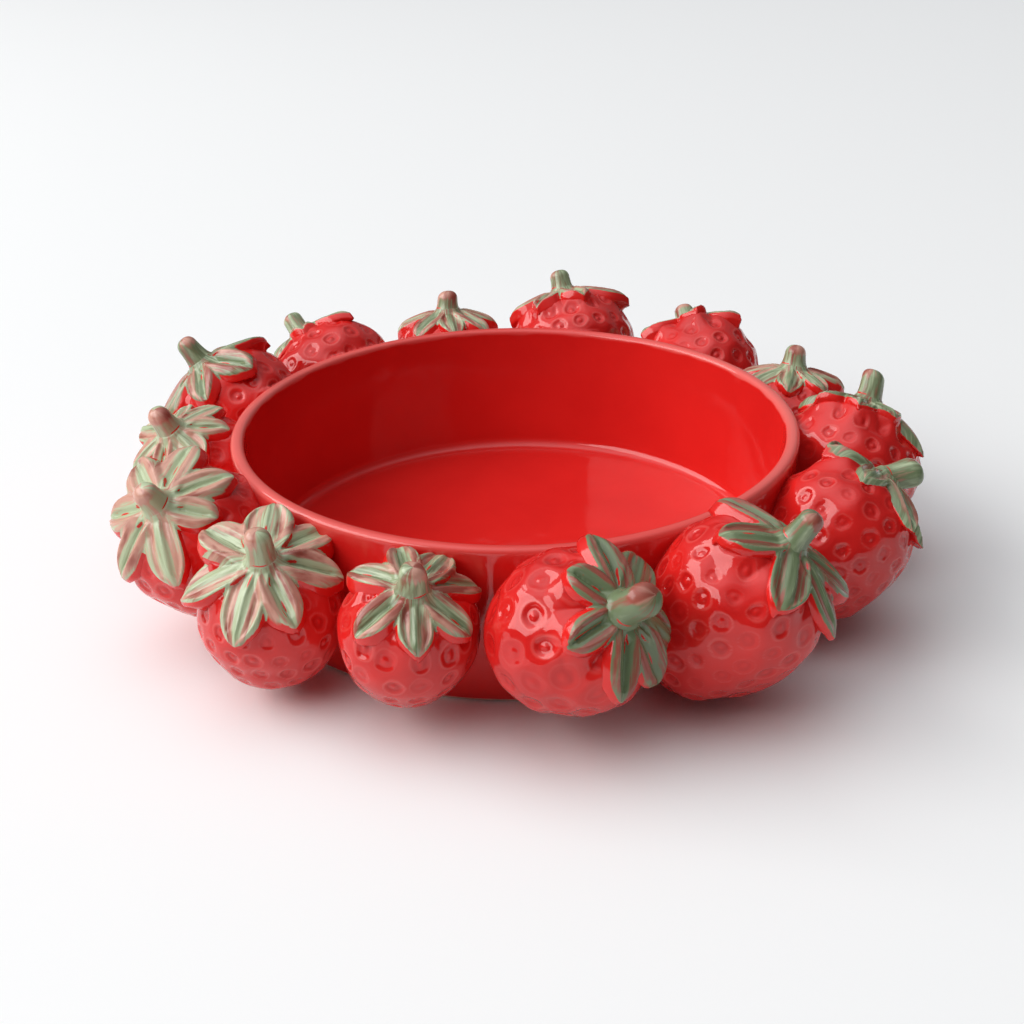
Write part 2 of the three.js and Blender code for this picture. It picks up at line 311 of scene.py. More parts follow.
def mixColour(tree, amount, first, second):
    # inputs 6 and 7 and output 2 of a mix node are its colours
    node = tree.nodes.new("ShaderNodeMix")
    node.data_type = "RGBA"
    feed(tree, node, {0: amount, 6: first, 7: second})
    return node.outputs[2]


glazeSpec = {
    "refraction": 1.5, "driftDetail": 4, "driftStep": (0.3, 0.7),
    "speckScale": 42, "speckStep": (0.035, 0.012), "speckShare": 0.08, "swellScale": 55, "swellDetail": 2,
}


def makeGlazeGroup():
    # slow drift in tone, pinhole specks and the faint swell of fired glaze
    group, entry, end = newGroup(
        "firedGlaze",
        [("Position", "NodeSocketVector", None), ("Drift Scale", "NodeSocketFloat", 30.0)],
        [("Drift", "NodeSocketFloat"), ("Pinholes", "NodeSocketFloat"), ("Swell", "NodeSocketFloat")],
    )
    spec, place = glazeSpec, entry.outputs["Position"]
    drift = noiseNode(group, place, entry.outputs["Drift Scale"], spec["driftDetail"])
    drift = stepNode(group, drift, *spec["driftStep"])
    specks = group.nodes.new("ShaderNodeTexVoronoi")
    feed(group, specks, {"Vector": place, "Scale": spec["speckScale"]})
    near = stepNode(group, specks.outputs["Distance"], *spec["speckStep"])
    picked = group.nodes.new("ShaderNodeSeparateColor")
    feed(group, picked, {"Color": specks.outputs["Color"]})
    rare = mathNode(group, "LESS_THAN", picked.outputs[0], spec["speckShare"])
    swell = noiseNode(group, place, spec["swellScale"], spec["swellDetail"])
    feed(group, end, {"Drift": drift, "Pinholes": times(group, near, rare), "Swell": swell})
    return group


glazeGroup = makeGlazeGroup()


def newGlaze(name, driftScale):
    # the material, its tree and what the glaze group gives
    material = bpy.data.materials.new(name)
    material.use_nodes = True
    tree = material.node_tree
    glaze = tree.nodes.new("ShaderNodeGroup")
    glaze.node_tree = glazeGroup
    place = tree.nodes.new("ShaderNodeTexCoord").outputs["Object"]
    feed(tree, glaze, {"Position": place, "Drift Scale": driftScale})
    return material, tree, glaze.outputs


def finishGlaze(tree, colour, roughness, height, depth):
    # the shader's colour and gloss, and a swell so many millimetres deep
    bump = tree.nodes.new("ShaderNodeBump")
    feed(tree, bump, {"Strength": 1, "Distance": depth * mm, "Height": height})
    looks = {"Base Color": colour, "Roughness": roughness, "IOR": glazeSpec["refraction"]}
    feed(tree, tree.nodes["Principled BSDF"], {**looks, "Normal": bump.outputs["Normal"]})


def attributeOf(tree, name, vector=False):
    node = tree.nodes.new("ShaderNodeAttribute")
    node.attribute_name = name
    return node.outputs["Vector" if vector else "Fac"]


redSpec = {
    "red": (0.71, 0.019, 0.016, 1),
    "deep": (0.58, 0.012, 0.011, 1),
    # thin glaze; on the bowl's rim it also carries a painted highlight
    "thin": (0.82, 0.17, 0.15, 1),
    "speck": (0.05, 0.01, 0.01, 1),
    "bare": (0.72, 0.62, 0.52, 1),
}


bowlGlazeSpec = {"driftScale": 22, "drift": 0.5, "roughness": 0.07, "bareRoughness": 0.6, "swell": 0.25}


def makeBowlGlaze():
    # red glaze, thinner along the rim and carrying a painted highlight there, wiped off the foot's bevel
    spec = bowlGlazeSpec
    material, tree, glaze = newGlaze("bowlRedGlaze", spec["driftScale"])
    bare = attributeOf(tree, "bareClay")
    colour = mixColour(tree, times(tree, glaze["Drift"], spec["drift"]), redSpec["red"], redSpec["deep"])
    # the rim band: thin glaze with a painted highlight, strongest at the sides
    colour = mixColour(tree, attributeOf(tree, "rimThinAndHighlight"), colour, redSpec["thin"])
    colour = mixColour(tree, glaze["Pinholes"], colour, redSpec["speck"])
    colour = mixColour(tree, bare, colour, redSpec["bare"])
    dull = plus(tree, times(tree, bare, spec["bareRoughness"]), spec["roughness"])
    finishGlaze(tree, colour, dull, glaze["Swell"], spec["swell"])
    return material


berryGlazeSpec = {
    "driftScale": 45, "poolStep": (0.1, 0.9), "ridgeStep": (-0.1, -0.9), "ridge": 0.24,
    "roughness": 0.06, "swell": 0.2,
}


def makeBerryGlaze():
    # red glaze, darker where it pools in the pits and thinner over their ridges
    spec = berryGlazeSpec
    material, tree, glaze = newGlaze("berryRedGlaze", spec["driftScale"])
    pool = attributeOf(tree, "pool")
    ridge = times(tree, stepNode(tree, pool, *spec["ridgeStep"]), spec["ridge"])
    colour = mixColour(tree, glaze["Drift"], redSpec["red"], redSpec["deep"])
    colour = mixColour(tree, stepNode(tree, pool, *spec["poolStep"]), colour, redSpec["deep"])
    colour = mixColour(tree, ridge, colour, redSpec["thin"])
    finishGlaze(tree, colour, spec["roughness"], glaze["Swell"], spec["swell"])
    return material


leafSpec = {
    "mint": (0.45, 0.52, 0.33, 1),
    "sage": (0.165, 0.215, 0.112, 1),
    "blush": (0.60, 0.31, 0.235, 1),
    "rust": (0.33, 0.085, 0.06, 1),
    "red": (0.70, 0.016, 0.013, 1),
}


brushSpec = {
    "streakStretch": (3.2, 0.2, 7.0), "streakScale": 1.5, "streakDetail": 4, "streakRoughness": 0.55,
    "cloudStretch": (1.2, 0.4, 7.0), "cloudScale": 0.9, "greenStep": (0.32, 0.64), "pinkStep": (0.4, 0.62),
    "shadeDark": 0.3, "shadeRust": 0.2, "shadeWear": 0.06, "rub": 0.5, "cloudWear": 0.4,
    "wornStep": (0.48, 0.72), "ragged": 0.7, "edgeStep": (0.3, 0.62),
}


def makeBrushGroup():
    # green brushed over red clay: streaks run along the leaf, ridges are rubbed through to pink and rust,
    # painted shade makes a crown's green darker, rustier and less worn, and a negative one paints it paler
    spec = brushSpec
    group, entry, end = newGroup(
        "brushedGreen",
        [("Leaf Place", "NodeSocketVector", None), ("Paint", "NodeSocketFloat", 1.0),
         ("Rub", "NodeSocketFloat", 0.0), ("Coat", "NodeSocketFloat", 0.0)],
        [("Colour", "NodeSocketColor"), ("Streak", "NodeSocketFloat")],
    )
    place, paintedShade = entry.outputs["Leaf Place"], entry.outputs["Coat"]
    streak = noiseNode(group, stretched(group, place, spec["streakStretch"]), spec["streakScale"],
                       spec["streakDetail"], spec["streakRoughness"])
    cloud = noiseNode(group, stretched(group, place, spec["cloudStretch"]), spec["cloudScale"])
    # painted shade: the per-crown value darkens the green and turns the pink towards rust
    streakAndShade = plus(group, streak, times(group, paintedShade, spec["shadeDark"]))
    cloudAndShade = plus(group, cloud, times(group, paintedShade, spec["shadeRust"]))
    green = mixColour(group, stepNode(group, streakAndShade, *spec["greenStep"]), leafSpec["mint"], leafSpec["sage"])
    pink = mixColour(group, stepNode(group, cloudAndShade, *spec["pinkStep"]), leafSpec["blush"], leafSpec["rust"])
    worn = plus(group, streak, times(group, entry.outputs["Rub"], spec["rub"]))
    worn = plus(group, worn, swing(group, cloud, spec["cloudWear"]))
    worn = mathNode(group, "SUBTRACT", worn, times(group, paintedShade, spec["shadeWear"]))
    colour = mixColour(group, stepNode(group, worn, *spec["wornStep"]), green, pink)
    edge = plus(group, entry.outputs["Paint"], swing(group, streak, spec["ragged"]))
    colour = mixColour(group, stepNode(group, edge, *spec["edgeStep"]), leafSpec["red"], colour)
    feed(group, end, {"Colour": colour, "Streak": streak})
    return group


brushGroup = makeBrushGroup()


leafGlazeSpec = {
    "driftScale": 60, "roughness": 0.04, "satin": 0.1, "grain": 0.12, "grooves": 0.35, "swell": 0.25,
}


def makeLeafGlaze(name):
    # satin where the green lies, glossy on the bare red sides
    spec = leafGlazeSpec
    material, tree, glaze = newGlaze(name, spec["driftScale"])
    brush = tree.nodes.new("ShaderNodeGroup")
    brush.node_tree = brushGroup
    paint, streak = attributeOf(tree, "paint"), brush.outputs["Streak"]
    feed(tree, brush, {
        "Leaf Place": attributeOf(tree, "leafPlace", True), "Paint": paint,
        "Rub": attributeOf(tree, "rub"), "Coat": attributeOf(tree, "paintedShade"),
    })
    dull = plus(tree, times(tree, paint, spec["satin"]), times(tree, streak, spec["grain"]))
    dull = plus(tree, dull, spec["roughness"])
    swell = plus(tree, glaze["Swell"], times(tree, streak, spec["grooves"]))
    finishGlaze(tree, brush.outputs["Colour"], dull, swell, spec["swell"])
    return material


bowlGlaze = makeBowlGlaze()
berryGlaze = makeBerryGlaze()
leafGlaze = makeLeafGlaze("leafGreenGlaze")
stemGlaze = makeLeafGlaze("stemGreenGlaze")
print("glazes mixed")


# bowl

bowlSpec = {
    "rimRadius": 105, "wall": 5, "height": 58.7, "floor": 7, "baseTaper": 2.8, "innerTaper": 4,
    "bevel": 1.4, "ease": (0.3, 0.12, 0.2), "corner": 4.5, "rimSquare": 2.5, "around": 320,
    "baseRings": 12, "wallRings": 18, "rimRings": 25, "cornerRings": 12, "floorRings": 22,
    "wobble": 0.25, "wobbleUp": 0.7, "still": 2, "stillRadius": (60, 95),
    "sway": ((2, 3.9, 1), (4, 1.2, 0.5)), "heave": ((2, 0.7, 1), (3, 2.1, 0.6), (5, 4.0, 0.4)),
}


def wallRadius(height):
    # the outer wall: straight from the foot's bevel to the rim
    b = bowlSpec
    rimHeight = b["height"] - b["wall"] / 2
    share = (np.asarray(height) - b["bevel"]) / (rimHeight - b["bevel"])
    return b["rimRadius"] - b["baseTaper"] * (1 - np.clip(share, 0, 1))


def arcPoints(x, z, radius, start, stop, count):
    # points on part of a circle, between two angles in degrees
    angle = np.radians(np.linspace(start, stop, count))
    return np.stack([x + radius * np.cos(angle), z + radius * np.sin(angle)], -1)


def linePoints(start, stop, count):
    # points between two ends, the ends left out
    t = np.linspace(0, 1, count + 2)[1:-1, None]
    return (1 - t) * np.array(start) + t * np.array(stop)


def bowlProfile():
    # underside, eased bevel, wall, half-round rim, inner wall, fillet and floor, as radius and height
    b = bowlSpec
    tube = b["wall"] / 2
    rim = arcPoints(0, 0, 1, 0, 180, b["rimRings"])
    rim = np.sign(rim) * np.abs(rim) ** (2 / b["rimSquare"]) * tube
    rim = rim + (b["rimRadius"] - tube, b["height"] - tube)
    foot = b["rimRadius"] - b["baseTaper"]
    toe = foot - b["bevel"]
    inner = b["rimRadius"] - b["wall"] - b["innerTaper"]
    fillet = arcPoints(inner - b["corner"], b["floor"] + b["corner"], b["corner"], 0, -90, b["cornerRings"])
    along, up, back = b["ease"]
    bevel = [(toe - along, 0), (toe, up), (foot - back, b["bevel"] - back), (foot, b["bevel"] + along)]
    return np.concatenate([
        linePoints((0, 0), (toe, 0), b["baseRings"]),
        bevel,
        linePoints(bevel[-1], rim[0], b["wallRings"]),
        rim,
        linePoints(rim[-1], fillet[0], b["wallRings"]),
        fillet,
        linePoints(fillet[-1], (0, b["floor"]), b["floorRings"]),
    ])


# distances below the rim's top, and above the bevel, between which the glaze changes; front and sides weigh
# the rim's band of thin glaze and painted highlight, which is most at the sides
rimSpec = {
    "outside": (3.4, 1.0), "inside": (2.1, 1.3), "ripple": ((17, 0, 0.25), (29, 1, 0.2), (53, 2, 0.15)),
    "front": 0.28, "sides": 0.55, "bare": (0.1, -0.4),
}


def makeBowl():
    # the profile turned round the axis, with the slight waver of a hand-finished rim
    b = bowlSpec
    profile = bowlProfile()
    turn = np.arange(b["around"]) / b["around"] * 2 * np.pi
    radius, height = profile[:, 0, None], profile[:, 1, None]
    rise = smoothStep(b["still"], b["height"], height) * smoothStep(*b["stillRadius"], radius)
    radiusNow = radius + b["wobble"] * rise * waveSum(b["sway"], turn)
    heightNow = height + b["wobbleUp"] * b["wobble"] * rise * waveSum(b["heave"], turn)
    grid = np.stack([radiusNow * np.cos(turn), radiusNow * np.sin(turn), heightNow], -1)
    rows, cols = grid.shape[:2]
    mesh = meshFrom("bowl", *closedGrid(grid, [(0, 0, 0), (0, 0, b["floor"])]))
    tall = np.concatenate([np.repeat(profile[:, 1], cols), [0, b["floor"]]])
    wide = np.concatenate([np.repeat(profile[:, 0], cols), [0, 0]])
    around = np.concatenate([np.tile(turn, rows), [0, 0]])
    # thin glaze and a painted highlight over the rim, most at the sides where the rim catches the light:
    # fades out down the outside, ends in a wavy line just inside where the light's reflection falls
    low, high = b["height"] - np.array(rimSpec["outside"])
    outside = smoothStep(low, high, tall)
    low, high = b["height"] - np.array(rimSpec["inside"])
    inside = smoothStep(low, high, tall + waveSum(rimSpec["ripple"], around))
    thin = np.where(wide > b["rimRadius"] - b["wall"] / 2, outside, inside)
    low, high = b["bevel"] + np.array(rimSpec["bare"])
    setAttribute(mesh, "rimThinAndHighlight", thin * (rimSpec["front"] + rimSpec["sides"] * np.cos(around) ** 2))
    setAttribute(mesh, "bareClay", smoothStep(low, high, tall))
    addPiece("bowl", mesh, bowlGlaze, "bowl_body")


makeBowl()
print("bowl turned")


# berries, counter-clockwise from the front one left of the middle, millimetres and degrees:
# at = angle round the bowl, up = height of the middle, bite = depth into the wall's face,
# wide, tip, crown = radius and half lengths, lean and rise = the axis, pit = spacing of the seed pits,
# facet = depth of the flats round the pits, leafWide = half width of a usual leaf,
# sharp = extra taper of its tip, green = how much further the green runs down over its edge,
# paintedShade = painted shade on the crown's green: darker on the berries at the right, paler where
# negative at the left,
# stemFoot, stemTip and tilt = a stouter, slimmer or leaning stem,
# leaves = angle round the axis, reach, drop of the tip below the hub

berryRows = [
    {"at": -106.5, "up": 37.0, "bite": 6.5, "wide": 22.5, "tip": 29.5, "crown": 16.5,
     "lean": 32, "rise": 66, "stem": 11, "pit": 9.5, "leafWide": 5.9,
     "leaves": [(15, 25, 12), (50, 24, 8), (90, 23, 6), (132, 24, 8),
                (203, 21, 7), (262, 20, 6), (315, 21, 7)]},
    {"at": -82, "up": 39.9, "bite": 6.5, "wide": 27, "tip": 31, "crown": 21.5,
     "lean": 36, "rise": 38, "stem": 13, "stemFoot": 1.2, "stemTip": 1.3,
     "pit": 11.5, "facet": 1.9, "leafWide": 6.4, "paintedShade": 0.8,
     "leaves": [(25, 27, 9), (60, 28, 12), (115, 20, 4), (185, 21, 5),
                (248, 26, 9), (290, 28, 13), (325, 25, 9)]},
    {"at": -55.5, "up": 41.5, "bite": 5, "wide": 27.5, "tip": 42, "crown": 20,
     "lean": 45, "rise": 55, "stem": 12.5, "pit": 9.5, "leafWide": 6.5, "paintedShade": 0.6,
     "leaves": [(10, 25, 9), (58, 27, 7), (122, 24, 6), (194, 26, 8),
                (245, 30, 12), (290, 30, 6), (335, 25, 9)]},
    {"at": -25, "up": 38.0, "bite": 4.5, "wide": 25, "tip": 37, "crown": 19,
     "lean": 60, "rise": 42, "stem": 14.5, "tilt": (237, 38), "stemFoot": 0.8, "stemTip": 1.25,
     "pit": 9, "leafWide": 5.9, "sharp": 0.35, "green": 0.4, "paintedShade": 0.2,
     "leaves": [(15, 24, 6), (65, 23, 2), (120, 20, 7), (172, 27, 13),
                (207, 28, 15), (255, 26, 11), (310, 26, 11)]},
    {"at": 1.5, "up": 39.0, "bite": 6, "wide": 27.5, "tip": 34, "crown": 19.5,
     "lean": 45, "rise": 62, "stem": 12, "pit": 9, "leafWide": 6.2,
     "sharp": 0.35, "green": 0.25, "paintedShade": 0.2,
     "leaves": [(20, 24, 8), (62, 23, 3), (105, 20, 1.5), (150, 19, 2),
                (195, 27, 13), (250, 26, 10), (315, 25, 9)]},
    {"at": 25.5, "up": 35.0, "bite": 6.5, "wide": 24.5, "tip": 29, "crown": 17.5,
     "lean": 36, "rise": 75, "stem": 9.5, "pit": 8.5, "leafWide": 5.6,
     "leaves": [(8, 22, 5), (60, 20, 6), (105, 19, 6), (155, 20, 5),
                (205, 22, 5), (260, 22, 7), (315, 22, 7)]},
    {"at": 49, "up": 40.5, "bite": 6, "wide": 24.5, "tip": 29.5, "crown": 21,
     "lean": 58, "rise": 45, "stem": 8, "pit": 9.5, "leafWide": 6.0, "sharp": 0.4,
     "leaves": [(5, 24, 3), (81, 17, 1), (138, 24, 6), (190, 24, 9),
                (240, 23, 9), (285, 23, 9), (330, 23, 9)]},
    {"at": 77.5, "up": 43.5, "bite": 6, "wide": 27.5, "tip": 33, "crown": 20.5,
     "lean": 38, "rise": 64, "stem": 9.5, "pit": 9.5, "leafWide": 6.6, "sharp": 0.4,
     "leaves": [(30, 22, 5), (85, 20, 4), (148, 28, 8), (200, 26, 9),
                (250, 25, 9), (295, 26, 9), (340, 26, 6)]},
    {"at": 103, "up": 38.5, "bite": 6, "wide": 24.5, "tip": 29.5, "crown": 18,
     "lean": -7, "rise": 78, "stem": 9, "pit": 9, "leafWide": 5.6,
     "leaves": [(45, 21, 7), (90, 20, 7), (135, 21, 7), (183, 22, 6),
                (235, 22, 7), (298, 22, 7), (352, 23, 7)]},
    {"at": 129, "up": 40.5, "bite": 6.5, "wide": 28, "tip": 33.5, "crown": 18.5,
     "lean": 4, "rise": 39, "stem": 11.5, "pit": 10, "leafWide": 6.2, "sharp": 0.35,
     "leaves": [(10, 24, 9), (58, 19, 4), (107, 27, 8), (160, 25, 9),
                (210, 25, 9), (258, 25, 9), (310, 25, 9)]},
    {"at": 153.5, "up": 44.0, "bite": 5, "wide": 25, "tip": 30, "crown": 20,
     "lean": 23, "rise": 54, "stem": 12, "pit": 9, "leafWide": 7.2, "paintedShade": 0.2,
     "leaves": [(3, 23, 8), (55, 25, 10), (115, 26, 8), (170, 24, 9),
                (218, 25, 9), (260, 26, 9), (302, 28, 8)]},
    {"at": 177.5, "up": 40.0, "bite": 7, "wide": 22, "tip": 26.5, "crown": 17,
     "lean": 42, "rise": 60, "stem": 11, "pit": 8.5, "leafWide": 5.6, "paintedShade": -0.4,
     "leaves": [(0, 19, 6), (45, 20, 7), (88, 21, 7), (140, 20, 6),
                (193, 21, 3), (240, 22, 7), (300, 19, 5)]},
    {"at": 206, "up": 38.5, "bite": 8, "wide": 26, "tip": 33.5, "crown": 22,
     "lean": 27, "rise": 51, "stem": 11.5, "pit": 9, "leafWide": 6.9, "paintedShade": -0.6,
     "leaves": [(10, 20, 6), (58, 25, 9), (110, 28, 7), (155, 27, 3),
                (200, 26, 7), (245, 27, 12), (302, 26, 10)]},
    {"at": 229, "up": 32.5, "bite": 5.5, "wide": 24, "tip": 29, "crown": 19,
     "lean": 39, "rise": 73, "stem": 12.5, "pit": 8.5, "leafWide": 7.2, "paintedShade": -0.3,
     "leaves": [(3, 25, 9), (48, 28, 6), (93, 27, -1), (140, 29, 3),
                (187, 28, 12), (250, 26, 12), (296, 23, 9)]},
]


def seatOf(b):
    # middle of the berry, axis towards its crown, and two directions square to the axis
    turn, rise, at = np.radians(b["at"] + b["lean"]), np.radians(b["rise"]), np.radians(b["at"])
    axis = np.array((np.cos(rise) * np.cos(turn), np.cos(rise) * np.sin(turn), np.sin(rise)))
    across = unit(np.cross((0, 0, 1), axis))
    distance = bowlSpec["rimRadius"] + b["wide"] - b["bite"]
    middle = np.array((distance * np.cos(at), distance * np.sin(at), b["up"]))
    return middle, axis, across, np.cross(axis, across)


def crownHeight(b, distance):
    # height of the plain berry along its axis at a distance from the axis
    return b["crown"] * np.sqrt(1 - np.clip(distance / b["wide"], 0, 1) ** 2)


# lengths in millimetres; belly and fullest are shares of a leaf's length, size is its width for its reach
leafShape = {
    "hub": 3.5, "root": 3.0, "edge": 2.6, "seat": 2.0, "belly": 0.56, "foot": 0.5, "taper": 2.3,
    "droop": 1.5, "wide": 1.12, "size": (0.55, 0.45, 25), "crowd": 1.5, "fullest": 0.62, "least": 0.35,
}


def leafWidth(u, form):
    # half width along a leaf: narrower at the foot, full at the belly, drawn in to a blunt or sharp point
    rise = (u - leafShape["belly"]) / leafShape["belly"]
    fall = np.clip((u - leafShape["belly"]) / (1 - leafShape["belly"]), 0, 1)
    narrow = 1 - leafShape["foot"] * rise ** 2
    drawn = (1 - fall ** leafShape["taper"]) ** form["point"]
    return form["half"] * np.where(u < leafShape["belly"], narrow, drawn)


def leafLine(b, form, u):
    # height of a leaf's spine above the berry's middle: level at the hub, drooping to its tip
    return b["crown"] + leafShape["hub"] - form["drop"] * np.clip(u, 0, 1) ** leafShape["droop"]


# the range that each leaf's own value is drawn from, or the share of leaves that have it
leafVary = {
    "half": (0.92, 1.08), "point": (0.5, 0.8), "ribbed": 0.4, "fold": (0.75, 1.25), "cup": (-0.6, 1.2),
    "twist": (-1.4, 1.4), "bend": (-1.8, 1.8), "tone": (0, 40), "crack": (0.25, 0.7), "open": 0.45,
    "randomSeed": 70,
}


def leafForms(number, b):
    # each leaf with its own width, point, folds, cup, twist and bend,
    # its width limited by the angle to its neighbours
    random = np.random.default_rng(leafVary["randomSeed"] + number)
    turns = np.array([leaf[0] for leaf in b["leaves"]], float)
    gaps = np.concatenate([np.diff(turns), [turns[0] + 360 - turns[-1]]])
    least, more, usual = leafShape["size"]
    forms = []
    for index, (turn, reach, drop) in enumerate(b["leaves"]):
        near = math.radians(min(gaps[index], gaps[index - 1]) / 2)
        room = leafShape["crowd"] * leafShape["fullest"] * reach * math.sin(near)
        half = leafShape["wide"] * b["leafWide"] * (least + more * reach / usual)
        half = half * random.uniform(*leafVary["half"])
        form = {"turn": math.radians(turn), "reach": reach, "drop": drop, "half": min(half, room)}
        form["point"] = random.uniform(*leafVary["point"]) + b.get("sharp", 0)
        form["ribbed"] = random.uniform() < leafVary["ribbed"]
        for name in ("fold", "cup", "twist", "bend", "tone", "crack"):
            form[name] = random.uniform(*leafVary[name])
        form["open"] = random.uniform() < leafVary["open"]
        forms.append(form)
    return forms


def onLeaf(form, x, y):
    # plan coordinates on a leaf: share of its length, distance from its bent midline, half width there
    c, s = math.cos(form["turn"]), math.sin(form["turn"])
    u = (x * c + y * s - leafShape["root"]) / (form["reach"] - leafShape["root"])
    sideways = y * c - x * s - form["bend"] * np.clip(u, 0, 1) ** 2
    return u, sideways, np.maximum(leafWidth(np.clip(u, 0, 1), form), leafShape["least"])


skirtSpec = {
    "from": -0.1, "to": 0.95, "most": 11, "share": 0.95, "leaf": 2.5, "spread": (2.2, 0.5), "fall": 1.7,
    "free": (1.0, 0.68),
}


def leafSkirt(b, forms, x, y):
    # clay under the leaves: most of the nearest leaf's clearance, falling away over a distance that grows
    # with it, and none out at the berry's full radius, so that the tips stand free
    s = skirtSpec
    best = np.zeros(x.shape)
    distance = np.hypot(x, y)
    plain = crownHeight(b, distance)
    near, grow = s["spread"]
    for form in forms:
        u, sideways, half = onLeaf(form, x, y)
        past = np.maximum(u - s["to"], 0) * form["reach"]
        out = np.hypot(np.maximum(np.abs(sideways) - half, 0), past)
        clear = np.clip(leafLine(b, form, u) - plain, leafShape["edge"], s["most"])
        fall = np.clip(1 - out / (near + grow * clear), 0, 1) ** s["fall"]
        filled = s["share"] * (clear - s["leaf"]) * fall
        best = np.maximum(best, np.where(u > s["from"], filled, 0))
    return best * smoothStep(*s["free"], distance / b["wide"])


# pits: sizes, depths and distances as shares of their spacing
pitSpec = {
    "steps": 400, "rowStep": 0.87, "swirl": 0.37, "nudgeRound": 0.12, "nudgeAlong": 0.06,
    "size": (0.82, 1.1), "strength": (0.4, 1.2), "warp": 0.25, "warpPitch": 0.6,
    "facet": 0.034, "facetRadius": 0.55, "hole": 0.062, "holeRadius": 0.29, "holeEdge": (0.06, 0.12),
    "rim": 0.014, "rimWidth": 0.055, "seed": 0.06, "seedRadius": 0.1, "seedBare": 1.1,
}

berrySpec = {
    "rows": 136, "cols": 228, "lump": 0.5, "lumpFine": 0.7,
    "knead": 0.35, "kneadPitch": 0.22, "kneadWaves": 5,
    "skirtFade": (-6, 5), "filled": (1.5, 0.4), "web": 1.3, "webReach": 5, "webBelow": 1,
    "inWall": 1.5, "overRim": 1, "phase": 6, "randomSeed": 40,
}


def pitCentres(b, random):
    # rows of pits down the berry, every other row half a step on, each nudged a little
    t = np.linspace(0, np.pi, pitSpec["steps"])
    s = np.where(np.cos(t) > 0, b["crown"], b["tip"]) * np.cos(t)
    r = b["wide"] * np.sin(t)
    length = np.concatenate([[0], np.cumsum(np.hypot(np.diff(s), np.diff(r)))])
    count = int(length[-1] / (b["pit"] * pitSpec["rowStep"]))
    rowsAt = np.interp((np.arange(count) + 0.5) / count * length[-1], length, t)
    nudgeRound, nudgeAlong = pitSpec["nudgeRound"], pitSpec["nudgeAlong"]
    places = []
    for i, angle in enumerate(rowsAt):
        around = max(3, int(round(2 * np.pi * b["wide"] * np.sin(angle) / b["pit"])))
        step = np.arange(around) + 0.5 * (i % 2) + random.uniform(-nudgeRound, nudgeRound, around)
        turn = step / around * 2 * np.pi
        tilt = angle + random.uniform(-nudgeAlong, nudgeAlong, around) * b["pit"] / b["wide"]
        places.append(np.stack([tilt, turn + pitSpec["swirl"] * i], -1))
    return np.concatenate(places)


def berrySurface(b, t, turn):
    # plain berry: half-ellipses either side of the middle, turned round the axis; point and normal
    middle, axis, across, over = seatOf(b)
    length = np.where(np.cos(t) > 0, b["crown"], b["tip"])
    side = np.cos(turn)[..., None] * across + np.sin(turn)[..., None] * over
    point = middle + (length * np.cos(t))[..., None] * axis + (b["wide"] * np.sin(t))[..., None] * side
    normal = (np.cos(t) / length)[..., None] * axis + (np.sin(t) / b["wide"])[..., None] * side
    return point, normal / np.linalg.norm(normal, axis=-1, keepdims=True)


def waveField(point, random, pitch, count):
    # a count of sines, each along its own random direction
    ways = random.normal(0, pitch, (3, count))
    return np.sin(point @ ways + random.uniform(0, berrySpec["phase"], count))


def pitRelief(b, point, random):
    # each pit is a round hollow with a fine rim and a seed in the middle, in a broad and almost flat facet
    p = pitSpec
    pits = pitCentres(b, random)
    centre, _ = berrySurface(b, pits[:, 0], pits[:, 1])
    size = b["pit"] * random.uniform(*p["size"], len(centre))
    warp = p["warp"] * waveField(point, random, p["warpPitch"], 3)
    gap = np.sqrt(((point[:, None] + warp[:, None] - centre) ** 2).sum(-1)) / size
    nearest = gap.argmin(1)
    away = gap.min(1)
    strength = random.uniform(*p["strength"], len(centre))[nearest]
    facet = np.clip(1 - (away / p["facetRadius"]) ** 2, 0, 1)
    out, into = p["holeEdge"]
    hole = smoothStep(p["holeRadius"] + out, p["holeRadius"] - into, away) * strength
    rim = np.exp(-(((away - p["holeRadius"] - out) / p["rimWidth"]) ** 2)) * strength
    seed = np.exp(-((away / p["seedRadius"]) ** 2)) * strength
    depth = p["rim"] * rim + p["seed"] * seed - p["hole"] * hole
    return b["pit"] * (depth - b.get("facet", 1) * p["facet"] * facet), hole - p["seedBare"] * seed - rim


def berryLumps(t, turn, point, random):
    # slow waves round and along the berry, with the unevenness of kneaded clay
    waves = random.uniform(0, 2 * np.pi, 4)
    lump = np.sin(2 * turn + waves[0]) * np.sin(2 * t + waves[1])
    lump = lump + berrySpec["lumpFine"] * np.sin(3 * turn + waves[2]) * np.sin(3 * t + waves[3])
    knead = waveField(point, random, berrySpec["kneadPitch"], berrySpec["kneadWaves"]).sum(1)
    return berrySpec["lump"] * (lump * np.sin(t) + berrySpec["knead"] * knead)


